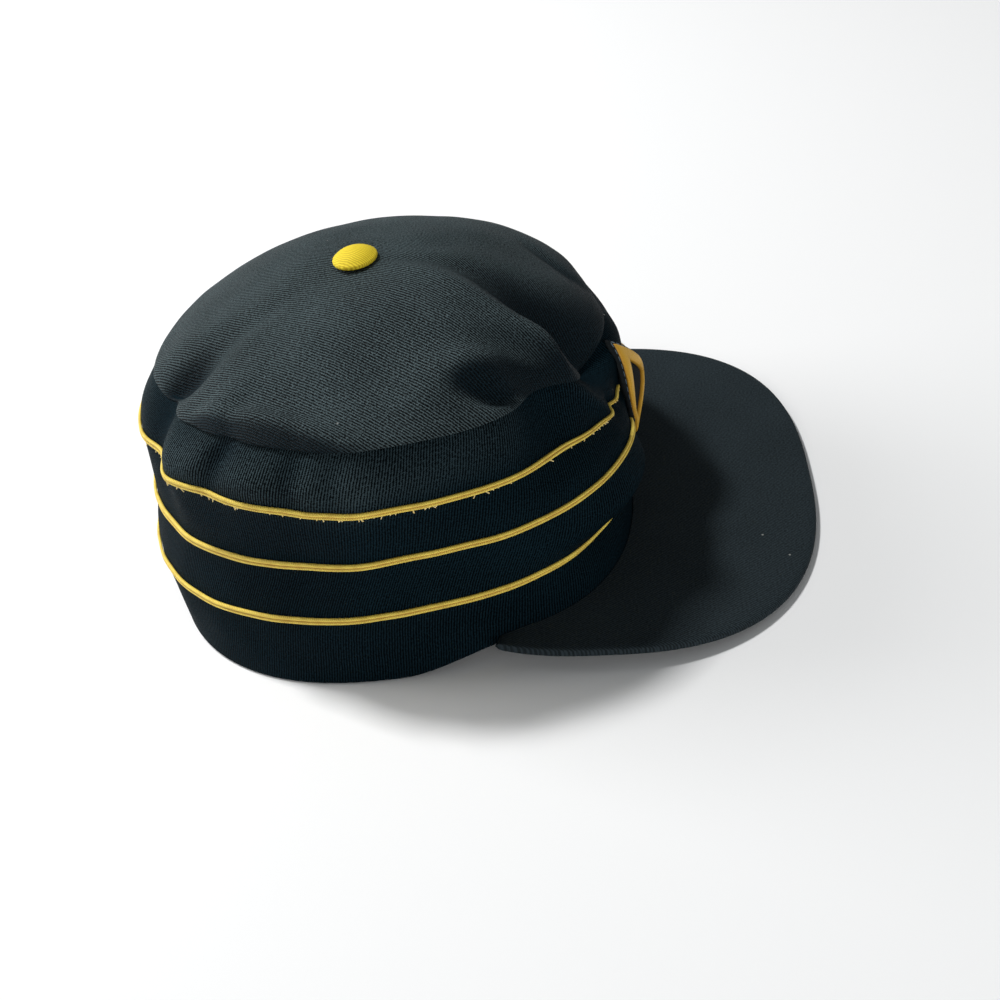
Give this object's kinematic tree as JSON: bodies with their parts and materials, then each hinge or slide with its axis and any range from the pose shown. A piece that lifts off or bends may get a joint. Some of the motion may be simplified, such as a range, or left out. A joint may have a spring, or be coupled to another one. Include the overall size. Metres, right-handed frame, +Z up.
{
  "type": "pillbox cap",
  "caption": "Soft cloth pillbox cap with an upright band, a puffed top panel with a covered button, thin braid stripes round the band, a plain lozenge badge and a flat bill.",
  "frame": {"origin": "under the middle of the whole cap, on the surface that the rim stands on", "axes": "+Z up through the crown, -Y towards the tip of the bill, -X towards the wearer's right"},
  "size_m": [0.194, 0.2568, 0.1256],
  "materials": {
    "black_twill": "matt black cotton twill with a cool charcoal tint",
    "bill_twill": "matt black cotton twill stretched over a stiff bill",
    "yellow_braid": "flat ribbed braid with a low sheen",
    "button_cloth": "matt yellow twill over a domed button",
    "black_felt": "matt black felt",
    "yellow_felt": "matt yellow felt"
  },
  "bodies": {
    "root": {"crown_side": "black_twill", "crown_top": "black_twill", "stripe_lower": "yellow_braid", "stripe_middle": "yellow_braid", "stripe_upper": "yellow_braid", "bill": "bill_twill", "button": "button_cloth", "emblem_backing": "black_felt", "emblem_frame": "yellow_felt"}
  },
  "joints": []
}
